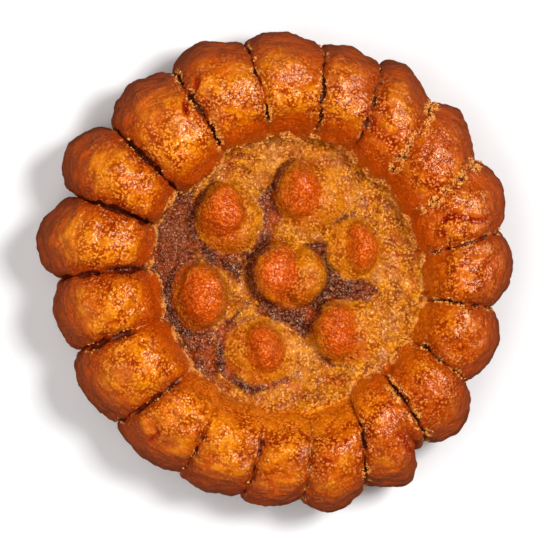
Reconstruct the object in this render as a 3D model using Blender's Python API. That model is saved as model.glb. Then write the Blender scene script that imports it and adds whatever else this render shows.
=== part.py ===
"""Yakgwa: a deep-fried honey biscuit, pressed in a flower mould and soaked in syrup.

One solid of dough. A ring of loaf-shaped petals, parted by cracked seams, stands round a sunken
floor, and seven bosses with browned knobs rise from that floor: one in the middle and six round it.
The underside is flat. Lengths below are in millimetres and bearings in degrees, counter-clockwise
from +X; the mesh is built in metres with +Z up, resting on Z = 0.
"""

import math
import random
from collections import namedtuple

import bmesh
import bpy
import numpy as np

MM = 0.001

# Driving dimensions
HALF_SECTION_HEIGHT = 6.4  # where a petal's outer wall stands furthest out
FLOOR_HEIGHT = 7.6  # dough between the bosses, at the middle
FLOOR_RISE = 0.075  # the floor climbs this much for each millimetre towards RISE_BEARING
RISE_BEARING = -32.0
FLOOR_HOLLOW = 0.9  # how far the floor dips between the bosses, below its own edge
FOOT_CORNER = 0.4  # a petal's inner end draws back at its seams by this share of their valleys
CREST_SHARE = 0.43  # the crest lies this far from a petal's foot to its outer wall
BASE_INSET = 2.3  # the wall curves in this far by the time it meets the table
BASE_SCALLOP = 0.45  # share of the outline's scallops that is left at the base

# How square each curve is: 2 is an ellipse, more is boxier and less is more pointed
OUTLINE_POWER = 1.5
ACROSS_POWER = 2.0
OUTER_POWER = 2.3
LOWER_POWER = 2.1

# The same for the bosses' sections, where 0.5 is an ellipse, less is boxier and more is more pointed
DOME_POWER = 0.75
KNOB_POWER = 0.42
KNOB_LEAN = 0.35  # a knob's power is greater by this on its lee side, which falls off more gently
LEE_BEARING = 212.0

# A dome runs out into a low skirt: how far it is shifted and spread, and its share of the rise
SKIRT_SHIFT = (0.9, -0.5)
SKIRT_SPREAD = 1.4
SKIRT_RISE = 0.22
SKIRT_POWER = 1.4

# The bosses are pressed a little out of round, by a slow wave over the floor
BOSS_WARP = 0.35
WARP_WAVES = 5
WARP_LENGTHS = (4.0, 9.0)
WARP_SEEDS = (1, 2)  # for X and for Y
WARP_SCALE = 1 / 3  # brings the sum of the waves back to about 1

# Where two forms meet, the crease is rounded over this height
RING_FILLET = 0.35
BOSS_FILLET = 0.9
KNOB_FILLET = 0.4

# A seam is the crack on the clockwise side of a petal: its bearing at the rim and at its inner end,
# the outline's radius there, and the depth of its valley below the crests beside it.
# The petal that follows it has an outline radius at its tip, the share of its width where that tip
# is, a foot radius at its inner end, a crest height, and how square its inner face is.
Petal = namedtuple("Petal", "rim inner notch valley tip lean foot crest slope")
PETALS = (
    Petal(10.0, 6.5, 28.0, 1.3, 30.0, 0.56, 16.6, 13.9, 2.1),
    Petal(29.5, 22.0, 28.1, 1.1, 30.0, 0.64, 16.5, 14.0, 2.1),
    Petal(48.0, 41.5, 28.2, 1.1, 30.2, 0.66, 16.0, 14.2, 2.1),
    Petal(64.0, 59.0, 28.6, 1.0, 29.3, 0.58, 16.8, 14.1, 2.0),
    Petal(79.5, 76.0, 28.4, 1.0, 29.9, 0.62, 16.4, 14.3, 2.0),
    Petal(99.5, 95.5, 28.4, 1.1, 30.2, 0.54, 16.0, 14.5, 2.1),
    Petal(119.0, 117.0, 27.8, 1.5, 29.9, 0.52, 14.7, 14.6, 2.2),
    Petal(140.0, 143.5, 27.1, 2.5, 30.9, 0.50, 16.0, 14.5, 2.2),
    Petal(160.5, 161.0, 27.0, 2.7, 30.8, 0.52, 16.0, 14.4, 2.2),
    Petal(182.5, 179.5, 27.5, 2.8, 29.1, 0.46, 15.2, 14.2, 2.1),
    Petal(202.0, 202.5, 26.9, 2.5, 29.2, 0.48, 15.4, 14.1, 1.9),
    Petal(223.0, 228.0, 27.8, 2.1, 29.1, 0.50, 16.4, 14.0, 1.8),
    Petal(244.0, 244.0, 28.3, 0.9, 29.2, 0.44, 16.8, 13.7, 1.5),
    Petal(260.5, 264.5, 28.7, 0.8, 29.8, 0.36, 17.4, 13.6, 1.4),
    Petal(275.5, 281.5, 28.8, 0.9, 31.1, 0.44, 17.6, 13.8, 1.4),
    Petal(291.5, 299.0, 29.0, 1.6, 31.4, 0.60, 16.6, 14.0, 1.8),
    Petal(306.5, 309.0, 28.1, 0.3, 28.5, 0.36, 16.9, 13.7, 2.0),
    Petal(310.5, 314.5, 28.0, 1.8, 30.3, 0.42, 17.6, 13.9, 1.9),
    Petal(329.0, 331.5, 27.3, 1.8, 29.0, 0.52, 18.0, 13.8, 1.7),
    Petal(350.0, 349.0, 27.0, 1.8, 29.4, 0.60, 17.6, 13.8, 1.8),
)

# A boss is a low dome with a knob on it, both risen from the floor. Each has its middle, its two half
# widths and its rise. The middle boss has a second lobe beside its knob.
Boss = namedtuple("Boss", "dome_at dome_half dome_rise knob_at knob_half knob_rise")
BOSSES = (
    Boss((1.4, -0.6), (4.8, 4.3), 1.9, (-1.1, -0.4), (3.0, 4.1), 3.9),
    Boss((-6.4, 6.4), (4.2, 4.6), 2.2, (-7.6, 7.3), (3.2, 3.5), 4.3),
    Boss((4.1, 9.2), (4.9, 4.5), 2.0, (2.1, 9.9), (3.2, 3.7), 4.0),
    Boss((9.4, 2.6), (3.9, 3.7), 1.8, (9.9, 2.7), (2.2, 3.5), 3.4),
    Boss((-10.2, -3.4), (3.6, 4.6), 2.0, (-9.8, -3.2), (3.2, 4.3), 4.0),
    Boss((-2.2, -10.3), (5.0, 4.2), 1.8, (-2.2, -9.9), (2.8, 3.4), 3.7),
    Boss((8.6, -7.8), (4.7, 4.3), 1.9, (6.6, -7.8), (3.1, 3.9), 3.8),
)
LOBE_AT, LOBE_HALF, LOBE_RISE = (3.1, -0.7), (2.9, 3.9), 3.4

# Mesh density
COLUMNS_PER_TURN = 160
FLOOR_RINGS = 24  # middle to foot
HALVINGS = (5, 9)  # up to these rings every second column is left out
EVEN_SHARE = 0.35  # the columns are evenly spaced this share of the way in from a petal's foot
FACE_SHARES = (0.02, 0.08, 0.18, 0.34, 0.6, 1.0)  # foot to crest
CREST_ANGLES = (16.0, 32.0, 46.0, 58.0, 70.0, 80.0, 90.0)  # crest to the widest point
WALL_ANGLES = (25.0, 48.0, 66.0, 78.0, 90.0)  # widest point to the base
UNDERSIDE_SHARES = (0.8, 0.45)

DOUGH_COLOUR = (0.47, 0.12, 0.02, 1.0)
DOUGH_ROUGHNESS = 0.4


def bulge(offset, power):
    """1 on the middle line of a form and 0 on its edge, where offset is 1, along a superellipse."""
    return np.clip(1 - np.abs(offset) ** power, 0, 1) ** (1 / power)


def smooth_max(first, second, fillet):
    """The higher of two surfaces, with the crease between them rounded."""
    near = np.clip(fillet - np.abs(first - second), 0, None)
    return np.maximum(first, second) + near**2 / (4 * fillet)


def cap(x, y, middle, half_widths, power):
    """1 on top of a dome or knob and 0 round its edge."""
    offset_x = (x - middle[0]) / half_widths[0]
    offset_y = (y - middle[1]) / half_widths[1]
    return np.clip(1 - offset_x**2 - offset_y**2, 0, 1) ** power


def leaning_cap(x, y, middle, half_widths):
    """The same for a knob, which falls off more gently to its lee side."""
    lee = math.radians(LEE_BEARING)
    offset_x = (x - middle[0]) / half_widths[0]
    offset_y = (y - middle[1]) / half_widths[1]
    offset = np.maximum(np.hypot(offset_x, offset_y), 0.01)
    facing = (offset_x * math.cos(lee) + offset_y * math.sin(lee)) / offset
    return np.clip(1 - offset**2, 0, 1) ** (KNOB_POWER + KNOB_LEAN * (1 + facing) / 2)


def wobble(x, y, seed):
    """A slow wave over the floor, from about -1 to 1, that makes round forms uneven."""
    draw = random.Random(seed)
    total = 0
    for _ in range(WARP_WAVES):
        turn = draw.uniform(0, 2 * math.pi)
        wave = draw.uniform(*WARP_LENGTHS)
        start = draw.uniform(0, 2 * math.pi)
        total = total + np.sin((x * math.cos(turn) + y * math.sin(turn)) * 2 * math.pi / wave + start)
    return total * WARP_SCALE


def reach_at(share, lean):
    """How full the outline is at a share of a petal's width: 0 at its notches, 1 at its tip."""
    leant = share ** (math.log(0.5) / math.log(lean))
    return bulge(2 * leant - 1, OUTLINE_POWER)


def outline_of(index, share):
    """What the skin follows at a share of one petal's width, as one column of the mesh."""
    before, petal = PETALS[index - 1], PETALS[index]
    after = PETALS[(index + 1) % len(PETALS)]
    turn = 360.0 if index == len(PETALS) - 1 else 0.0
    full = bulge(2 * share - 1, ACROSS_POWER)

    def between(start, end):
        return start + (end - start) * share

    notch = between(petal.notch, after.notch)
    corner = between(
        (before.foot + petal.foot) / 2 + FOOT_CORNER * petal.valley,
        (petal.foot + after.foot) / 2 + FOOT_CORNER * after.valley,
    )
    seam_crest = between(
        (before.crest + petal.crest) / 2 - petal.valley,
        (petal.crest + after.crest) / 2 - after.valley,
    )
    return np.array([
        between(petal.rim, after.rim + turn),
        between(petal.inner, after.inner + turn),
        notch + (petal.tip - notch) * reach_at(share, petal.lean),
        corner + (petal.foot - corner) * full,
        seam_crest + (petal.crest - seam_crest) * full,
        notch,
        between((before.slope + petal.slope) / 2, (petal.slope + after.slope) / 2),
    ])


def columns():
    """One row for each radial line of the mesh, closer together beside the seams."""
    rows = []
    for index, petal in enumerate(PETALS):
        after = PETALS[(index + 1) % len(PETALS)]
        width = (after.rim - petal.rim) % 360
        count = max(4, 4 * round(width * COLUMNS_PER_TURN / 360 / 4))
        for step in range(count):
            share = (1 - math.cos(math.pi * step / count)) / 2
            rows.append(outline_of(index, share))
    return np.array(rows).T


RIM, INNER, WIDEST, FOOT, CREST, NOTCH, SLOPE = columns()
CREST_RADIUS = FOOT + CREST_SHARE * (WIDEST - FOOT)
EVEN = INNER[0] + np.arange(len(INNER)) * 360 / len(INNER)


def bearing_at(radius):
    """Each column's bearing in radians: straight from rim to foot, then evening out on the floor."""
    out = np.clip((radius - FOOT) / (WIDEST - FOOT), 0, 1)
    inside = np.clip(1 - radius / FOOT, 0, EVEN_SHARE) / EVEN_SHARE
    return np.radians(INNER + (RIM - INNER) * out + (EVEN - INNER) * inside)


def floor_height(x, y):
    """The sunken floor with its bosses."""
    rise = math.radians(RISE_BEARING)
    flat = FLOOR_HEIGHT + FLOOR_RISE * (x * math.cos(rise) + y * math.sin(rise))
    reach = np.clip(np.hypot(x, y) / FOOT.max(), 0, 1)
    height = flat - FLOOR_HOLLOW * (1 - reach**4)
    x, y = x + BOSS_WARP * wobble(x, y, WARP_SEEDS[0]), y + BOSS_WARP * wobble(x, y, WARP_SEEDS[1])

    def raised(height, rise, share, fillet):
        top = flat - FLOOR_HOLLOW + rise * share
        return np.where(share > 0, smooth_max(height, top, fillet), height)

    for boss in BOSSES:
        skirt_at = (boss.dome_at[0] + SKIRT_SHIFT[0], boss.dome_at[1] + SKIRT_SHIFT[1])
        skirt_half = (boss.dome_half[0] * SKIRT_SPREAD, boss.dome_half[1] * SKIRT_SPREAD)
        skirt = SKIRT_RISE * cap(x, y, skirt_at, skirt_half, SKIRT_POWER)
        dome = np.maximum(cap(x, y, boss.dome_at, boss.dome_half, DOME_POWER), skirt)
        height = raised(height, boss.dome_rise, dome, BOSS_FILLET)
    for boss in BOSSES:
        knob = leaning_cap(x, y, boss.knob_at, boss.knob_half)
        height = raised(height, boss.knob_rise, knob, KNOB_FILLET)
    return raised(height, LOBE_RISE, cap(x, y, LOBE_AT, LOBE_HALF, KNOB_POWER), KNOB_FILLET)


def top_ring(radius):
    """Points of one ring between the middle and the crest: the floor, or a petal's inner face."""
    bearing = bearing_at(radius)
    x, y = radius * np.cos(bearing), radius * np.sin(bearing)
    offset = (CREST_RADIUS - radius) / (CREST_RADIUS - FOOT)
    face = HALF_SECTION_HEIGHT + (CREST - HALF_SECTION_HEIGHT) * bulge(offset, SLOPE)
    face = np.where(radius < FOOT, 0, face)
    return np.stack([x, y, smooth_max(face, floor_height(x, y), RING_FILLET)], axis=1)


def crest_ring(degrees):
    """Points of one ring between the crest, at 0, and the widest point, at 90."""
    angle = math.radians(degrees)
    out = math.sin(angle) ** (2 / OUTER_POWER)
    up = max(math.cos(angle), 0) ** (2 / OUTER_POWER)
    radius = CREST_RADIUS + (WIDEST - CREST_RADIUS) * out
    height = HALF_SECTION_HEIGHT + (CREST - HALF_SECTION_HEIGHT) * up
    bearing = bearing_at(radius)
    return np.stack([radius * np.cos(bearing), radius * np.sin(bearing), height], axis=1)


def wall_ring(degrees):
    """Points of one ring between the widest point, at 0, and the table, at 90."""
    angle = math.radians(degrees)
    base = NOTCH - BASE_INSET + BASE_SCALLOP * (WIDEST - NOTCH)
    out = max(math.cos(angle), 0) ** (2 / LOWER_POWER)
    down = math.sin(angle) ** (2 / LOWER_POWER)
    radius = base + (WIDEST - base) * out
    height = np.full_like(radius, HALF_SECTION_HEIGHT * (1 - down))
    bearing = np.radians(RIM)
    return np.stack([radius * np.cos(bearing), radius * np.sin(bearing), height], axis=1)


def add_ring(body, points):
    return [body.verts.new(point) for point in points]


def join_rings(body, inside, outside):
    """Faces between two rings. The inside one may have half as many points."""
    count = len(outside)
    if len(inside) == count:
        for i in range(count):
            j = (i + 1) % count
            body.faces.new((inside[i], outside[i], outside[j], inside[j]))
        return
    for i in range(count // 2):
        j = (i + 1) % (count // 2)
        first, middle, last = outside[2 * i], outside[2 * i + 1], outside[(2 * i + 2) % count]
        body.faces.new((inside[i], first, middle))
        body.faces.new((inside[i], middle, inside[j]))
        body.faces.new((inside[j], middle, last))


def close_disc(body, ring, centre, facing_up):
    """A fan of triangles from a ring to a point in its middle."""
    middle = body.verts.new(centre)
    for i, first in enumerate(ring):
        second = ring[(i + 1) % len(ring)]
        body.faces.new((middle, first, second) if facing_up else (middle, second, first))


def build_body():
    """The whole skin, ring by ring: floor, inner faces, crests, walls and underside."""
    rings = []
    for number in range(1, FLOOR_RINGS + 1):
        share = number / FLOOR_RINGS
        step = 2 ** sum(number <= limit for limit in HALVINGS)
        radius = share * (FOOT.mean() + (FOOT - FOOT.mean()) * share**2)
        rings.append(top_ring(radius)[::step])
    rings += [top_ring(FOOT + (CREST_RADIUS - FOOT) * share) for share in FACE_SHARES]
    rings += [crest_ring(angle) for angle in CREST_ANGLES]
    rings += [wall_ring(angle) for angle in WALL_ANGLES]
    base = rings[-1]
    rings += [base * (share, share, 1) for share in UNDERSIDE_SHARES]

    body = bmesh.new()
    skin = [add_ring(body, ring) for ring in rings]
    for inside, outside in zip(skin, skin[1:]):
        join_rings(body, inside, outside)
    top = floor_height(np.zeros(1), np.zeros(1))[0]
    close_disc(body, skin[0], (0, 0, top), facing_up=True)
    close_disc(body, skin[-1], (0, 0, 0), facing_up=False)
    return body


def centre_over_origin(body):
    """Moves the body so that the box round its outline is centred over the origin."""
    for axis in (0, 1):
        places = [vert.co[axis] for vert in body.verts]
        middle = (min(places) + max(places)) / 2
        for vert in body.verts:
            vert.co[axis] -= middle


def dough_material():
    material = bpy.data.materials.new("fried_dough")
    material.use_nodes = True
    shader = material.node_tree.nodes["Principled BSDF"]
    shader.inputs["Base Color"].default_value = DOUGH_COLOUR
    shader.inputs["Roughness"].default_value = DOUGH_ROUGHNESS
    shader.inputs["Metallic"].default_value = 0.0
    return material


def main():
    for existing in list(bpy.data.objects):
        bpy.data.objects.remove(existing)
    body = build_body()
    centre_over_origin(body)
    bmesh.ops.scale(body, vec=(MM, MM, MM), verts=body.verts)
    mesh = bpy.data.meshes.new("yakgwa")
    body.to_mesh(mesh)
    body.free()
    mesh.shade_smooth()
    mesh.materials.append(dough_material())
    bpy.context.scene.collection.objects.link(bpy.data.objects.new("yakgwa", mesh))


main()
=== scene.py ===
import math
import random
from collections import namedtuple

import bmesh
import bpy
import numpy as np
from mathutils import Matrix, Vector, noise


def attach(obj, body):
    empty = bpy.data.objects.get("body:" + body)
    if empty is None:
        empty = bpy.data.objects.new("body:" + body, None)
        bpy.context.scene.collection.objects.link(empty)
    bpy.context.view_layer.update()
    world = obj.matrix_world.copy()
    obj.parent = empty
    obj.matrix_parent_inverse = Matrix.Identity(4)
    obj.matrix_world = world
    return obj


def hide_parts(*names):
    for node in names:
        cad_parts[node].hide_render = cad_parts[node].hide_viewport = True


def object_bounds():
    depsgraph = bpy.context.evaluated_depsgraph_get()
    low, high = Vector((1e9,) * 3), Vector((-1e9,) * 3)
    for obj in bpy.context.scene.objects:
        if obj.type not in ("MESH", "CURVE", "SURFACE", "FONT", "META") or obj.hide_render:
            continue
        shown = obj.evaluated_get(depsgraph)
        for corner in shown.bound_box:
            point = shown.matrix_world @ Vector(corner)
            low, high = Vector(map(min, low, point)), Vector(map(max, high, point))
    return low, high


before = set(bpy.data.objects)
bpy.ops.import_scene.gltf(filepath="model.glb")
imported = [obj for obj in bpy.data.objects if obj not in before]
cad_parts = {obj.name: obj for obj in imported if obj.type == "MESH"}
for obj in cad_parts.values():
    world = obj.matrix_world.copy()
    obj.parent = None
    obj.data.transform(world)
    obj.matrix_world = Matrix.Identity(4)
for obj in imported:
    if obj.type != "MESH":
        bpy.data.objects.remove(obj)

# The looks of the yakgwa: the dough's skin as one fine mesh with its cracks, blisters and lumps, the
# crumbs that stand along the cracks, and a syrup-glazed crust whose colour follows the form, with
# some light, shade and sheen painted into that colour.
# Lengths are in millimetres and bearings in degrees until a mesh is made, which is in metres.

cad_low, cad_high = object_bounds()
MM = 0.001

# ---------------------------------------------------------------- the form, as in the CAD part

HALF_SECTION_HEIGHT = 6.4
FLOOR_HEIGHT = 7.6
FLOOR_RISE = 0.075
RISE_BEARING = -32.0
FLOOR_HOLLOW = 0.9
FOOT_CORNER = 0.4
CREST_SHARE = 0.43
BASE_INSET = 2.3
BASE_SCALLOP = 0.45
OUTLINE_POWER = 1.5
ACROSS_POWER = 2.0
OUTER_POWER = 2.3
LOWER_POWER = 2.1
DOME_POWER = 0.75
KNOB_POWER = 0.42
KNOB_LEAN = 0.35
# The side that the knobs fall gently to, and where the domes are coloured darker red: partly browning,
# partly painted shade away from the key light
LEE_BEARING = 212.0
SKIRT_SHIFT = (0.9, -0.5)
SKIRT_SPREAD = 1.4
SKIRT_RISE = 0.22
SKIRT_POWER = 1.4
BOSS_WARP = 0.35
WARP_WAVES = 5
WARP_LENGTHS = (4.0, 9.0)
WARP_SEEDS = (1, 2)  # for X and for Y
WARP_SCALE = 1 / 3  # brings the sum of the waves back to about 1
RING_FILLET = 0.35
BOSS_FILLET = 0.9
KNOB_FILLET = 0.4
SOFT_SLOPE, CRISP_SLOPE = 1.3, 2.0  # a petal's foot is smooth at the first and a sharp lip at the second

# Each petal starts at its clockwise seam. rim and inner are the seam's bearings, notch is the
# outline's radius there and valley its depth; tip is the petal's reach and lean the share of its
# width where it is reached; foot and crest are its inner radius and its height, and slope is how
# square its inner face is. open is the width of the crack and crumbs how rough its lips are, from
# 0 to 1, and run is the radius where the crack dies out.
Petal = namedtuple("Petal", "rim inner notch valley tip lean foot crest slope open crumbs run")
PETALS = (
    Petal(10.0, 6.5, 28.0, 1.3, 30.0, 0.56, 16.6, 13.9, 2.1, 0.6, 0.5, 18.9),
    Petal(29.5, 22.0, 28.1, 1.1, 30.0, 0.64, 16.5, 14.0, 2.1, 0.3, 1.0, 19.0),
    Petal(48.0, 41.5, 28.2, 1.1, 30.2, 0.66, 16.0, 14.2, 2.1, 0.3, 0.9, 17.6),
    Petal(64.0, 59.0, 28.6, 1.0, 29.3, 0.58, 16.8, 14.1, 2.0, 0.5, 0.4, 18.0),
    Petal(79.5, 76.0, 28.4, 1.0, 29.9, 0.62, 16.4, 14.3, 2.0, 0.6, 0.5, 17.9),
    Petal(99.5, 95.5, 28.4, 1.1, 30.2, 0.54, 16.0, 14.5, 2.1, 0.6, 0.6, 18.5),
    Petal(119.0, 117.0, 27.8, 1.5, 29.9, 0.52, 14.7, 14.6, 2.2, 0.6, 0.7, 16.5),
    Petal(140.0, 143.5, 27.1, 2.5, 30.9, 0.50, 16.0, 14.5, 2.2, 0.8, 0.4, 16.5),
    Petal(160.5, 161.0, 27.0, 2.7, 30.8, 0.52, 16.0, 14.4, 2.2, 1.0, 0.2, 16.8),
    Petal(182.5, 179.5, 27.5, 2.8, 29.1, 0.46, 15.2, 14.2, 2.1, 1.0, 0.2, 17.2),
    Petal(202.0, 202.5, 26.9, 2.5, 29.2, 0.48, 15.4, 14.1, 1.9, 0.8, 0.5, 20.5),
    Petal(223.0, 228.0, 27.8, 2.1, 29.1, 0.50, 16.4, 14.0, 1.8, 0.8, 0.4, 19.0),
    Petal(244.0, 244.0, 28.3, 0.9, 29.2, 0.44, 16.8, 13.7, 1.5, 0.5, 0.3, 22.6),
    Petal(260.5, 264.5, 28.7, 0.8, 29.8, 0.36, 17.4, 13.6, 1.4, 0.6, 0.2, 21.0),
    Petal(275.5, 281.5, 28.8, 0.9, 31.1, 0.44, 17.6, 13.8, 1.4, 0.3, 0.3, 20.5),
    Petal(291.5, 299.0, 29.0, 1.6, 31.4, 0.60, 16.6, 14.0, 1.8, 0.6, 0.7, 21.0),
    Petal(306.5, 309.0, 28.1, 0.3, 28.5, 0.36, 16.9, 13.7, 2.0, 0.1, 0.0, 25.0),
    Petal(310.5, 314.5, 28.0, 1.8, 30.3, 0.42, 17.6, 13.9, 1.9, 0.6, 0.8, 18.0),
    Petal(329.0, 331.5, 27.3, 1.8, 29.0, 0.52, 18.0, 13.8, 1.7, 0.4, 0.5, 19.0),
    Petal(350.0, 349.0, 27.0, 1.8, 29.4, 0.60, 17.6, 13.8, 1.8, 0.6, 0.6, 19.0),
)

# Each boss is a dome with a knob on it, both risen from the floor: their middles, half widths and
# heights, and how much darker red its lower left side is, away from the key light, which is partly
# browning and partly painted shade. The middle boss has a second, golden lobe.
Boss = namedtuple("Boss", "dome_at dome_half dome_rise knob_at knob_half knob_rise browned")
BOSSES = (
    Boss((1.4, -0.6), (4.8, 4.3), 1.9, (-1.1, -0.4), (3.0, 4.1), 3.9, 0.8),
    Boss((-6.4, 6.4), (4.2, 4.6), 2.2, (-7.6, 7.3), (3.2, 3.5), 4.3, 0.9),
    Boss((4.1, 9.2), (4.9, 4.5), 2.0, (2.1, 9.9), (3.2, 3.7), 4.0, 0.5),
    Boss((9.4, 2.6), (3.9, 3.7), 1.8, (9.9, 2.7), (2.2, 3.5), 3.4, 0.3),
    Boss((-10.2, -3.4), (3.6, 4.6), 2.0, (-9.8, -3.2), (3.2, 4.3), 4.0, 1.0),
    Boss((-2.2, -10.3), (5.0, 4.2), 1.8, (-2.2, -9.9), (2.8, 3.4), 3.7, 0.4),
    Boss((8.6, -7.8), (4.7, 4.3), 1.9, (6.6, -7.8), (3.1, 3.9), 3.8, 0.8),
)
LOBE_AT, LOBE_HALF, LOBE_RISE = (3.1, -0.7), (2.9, 3.9), 3.4

# Creases pressed across a petal: where each starts and ends (bearing, radius) and how deep it is.
Fold = namedtuple("Fold", "start end depth")
FOLDS = (
    Fold((14.0, 26.8), (18.0, 20.0), 0.4),
    Fold((114.0, 26.8), (124.0, 22.4), 0.5),
    Fold((233.0, 27.4), (231.0, 25.2), 0.3),
    Fold((306.0, 28.2), (304.5, 24.5), 0.3),
)
FOLD_WIDTH = 0.4
FOLD_BEND, FOLD_BENDS = 0.35, 7.0  # how far a crease strays from its line, and how often, in radians

# ---------------------------------------------------------------- mesh density

COLUMNS_PER_TURN = 800
COLUMN_MULTIPLE = 8  # each petal's columns can be halved this far
FLOOR_RINGS = 74  # middle to foot
FLOOR_HALVINGS = (0.18, 0.4, 0.72)  # inside these shares of the foot every second column is left out
FACE_RINGS = 26  # foot to crest
FACE_POWER = 1.5  # the first of them lie closer together
CREST_RINGS = 30  # crest to the widest point
WALL_RINGS = 22  # widest point to the base, on half the columns
UNDERSIDE_SHARES = (0.97, 0.93, 0.88, 0.82, 0.76, 0.69, 0.62, 0.54, 0.46, 0.38, 0.29, 0.2, 0.1)
UNDERSIDE_HALVINGS = (0.8, 0.4)
EVEN_SHARE = 0.35  # the columns are evenly spaced this share of the way in from a petal's foot

# ---------------------------------------------------------------- relief on the skin

SEAM_WANDER, SEAM_WAVE = 0.5, 2.4  # how far a crack strays from its line, and over what length
WANDER_STEP = 0.25
CRACK_DEPTH, CRACK_WIDTH = 0.5, 0.13
BAND_WIDTH, BAND_SPREAD = 0.22, 0.55  # the crumbly lips beside a crack
LUMP_HEIGHT, LUMP_SIZE = 0.45, 3.6
RIPPLE_HEIGHT, RIPPLE_SIZE = 0.26, 1.6
BLISTER_HEIGHT, BLISTER_SIZE = 0.13, 0.9
FLAKE_HEIGHT, FLAKE_SIZE = 0.26, 0.55
WRINKLE_HEIGHT, WRINKLE_SIZE = 0.12, 1.1
FOOT_LIP = 0.14
UNDERSIDE_RELIEF, UNDERSIDE_SIZE = 0.35, 2.6
RELIEF_SPAN = 0.8  # the relief that the mask of that name covers, half of it below the plain skin
BLISTER_STEEPNESS = 1.6

# ---------------------------------------------------------------- where the kinds of crust, and the painted light and shade, are

BROAD_SIZE, FINE_SIZE = 1.3, 0.5  # of the noise that breaks the cracks and their crumbs up
CRACK_FADE_IN, CRACK_FADE_OUT = 1.2, 0.8  # before and past the radius where a crack dies out
LIP_AT, LIP_WIDTH = 0.25, 0.35  # the pale lip round the floor, past the petals' feet
SEAM_SHADE_WIDTH = 1.3
BROWN_FROM, BROWN_TO = -8.0, 26.0  # along X, from golden petals to browned ones
INNER_FROM, INNER_TO = 0.8, 4.0  # past a foot, on its petal's inner face
SOFT_FROM, SOFT_TO = 2.5, 6.5  # the same on a petal that rises softly from the floor
DARK_BEARING = 188.0  # the side where the floor is darkest
DARK_FROM, DARK_TO = 7.0, 11.5  # that far to this side
DARK_WANDER, DARK_WANDER_SIZE = 1.2, 3.0
MASK_SHIFT = (0.2, 0.1)  # the knobs' colour lies this far beside their form
DOME_MASK_POWER, KNOB_MASK_POWER = 0.5, 0.45
# Shade is painted in this dip, most on the side away from the key light
MOAT_AT, MOAT_WIDTH = 1.08, 0.17  # the dip round a dome, as shares of the dome's half widths
NEAR_WIDTH = 2.3  # how far from a dome the floor counts as near it


def bulge(offset, power):
    """1 on the middle line of a form and 0 on its edge, where offset is 1, along a superellipse."""
    return np.clip(1 - np.abs(offset) ** power, 0, 1) ** (1 / power)


def smooth_max(first, second, fillet):
    """The higher of two surfaces, with the crease between them rounded."""
    near = np.clip(fillet - np.abs(first - second), 0, None)
    return np.maximum(first, second) + near**2 / (4 * fillet)


def smooth_step(value, low, high):
    """0 at low and 1 at high, turning smoothly between them."""
    share = np.clip((value - low) / (high - low), 0, 1)
    return share * share * (3 - 2 * share)


def hump(value, middle, width):
    """1 at the middle, falling off to both sides."""
    return np.exp(-(((value - middle) / width) ** 2))


def cap(x, y, middle, half_widths, power):
    """1 on top of a dome or knob and 0 round its edge."""
    offset_x = (x - middle[0]) / half_widths[0]
    offset_y = (y - middle[1]) / half_widths[1]
    return np.clip(1 - offset_x**2 - offset_y**2, 0, 1) ** power


def leaning_cap(x, y, middle, half_widths):
    """The same for a knob, which falls off more gently to its lee side."""
    lee = math.radians(LEE_BEARING)
    offset_x = (x - middle[0]) / half_widths[0]
    offset_y = (y - middle[1]) / half_widths[1]
    offset = np.maximum(np.hypot(offset_x, offset_y), 0.01)
    facing = (offset_x * math.cos(lee) + offset_y * math.sin(lee)) / offset
    return np.clip(1 - offset**2, 0, 1) ** (KNOB_POWER + KNOB_LEAN * (1 + facing) / 2)


def wobble(x, y, seed):
    """A slow wave over the floor, from about -1 to 1, that makes round forms uneven."""
    draw = random.Random(seed)
    total = 0
    for _ in range(WARP_WAVES):
        turn = draw.uniform(0, 2 * math.pi)
        length = draw.uniform(*WARP_LENGTHS)
        start = draw.uniform(0, 2 * math.pi)
        total = total + np.sin((x * math.cos(turn) + y * math.sin(turn)) * 2 * math.pi / length + start)
    return total * WARP_SCALE


def warped(x, y):
    """The places from which the bosses' round forms are worked out, pushed about a little."""
    first, second = (BOSS_WARP * wobble(x, y, seed) for seed in WARP_SEEDS)
    return x + first, y + second


def noise_at(points, size, seed):
    """Smooth noise from about -1 to 1 at each point, with features of this size."""
    shift = Vector((seed * 17.3, seed * 7.9, seed * 3.1))
    return np.array([noise.noise(Vector(point) / size + shift) for point in points])


def blisters_at(points, size, seed):
    """Rounded bumps from 0, in the creases between them, to about 1, each of this size."""
    shift = Vector((seed * 11.7, seed * 5.3, seed * 2.9))
    nearest = [noise.voronoi(Vector(point) / size + shift)[0] for point in points]
    return np.array([min(1.0, (pair[1] - pair[0]) * BLISTER_STEEPNESS) for pair in nearest])


# ---------------------------------------------------------------- columns and rings of the skin

Column = namedtuple(
    "Column", "rim inner widest foot crest notch slope from_seam open crumbs run place"
)


def reach_at(share, lean):
    """How full the outline is at a share of a petal's width: 0 at its notches, 1 at its tip."""
    leant = share ** (math.log(0.5) / math.log(lean))
    return bulge(2 * leant - 1, OUTLINE_POWER)


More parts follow.
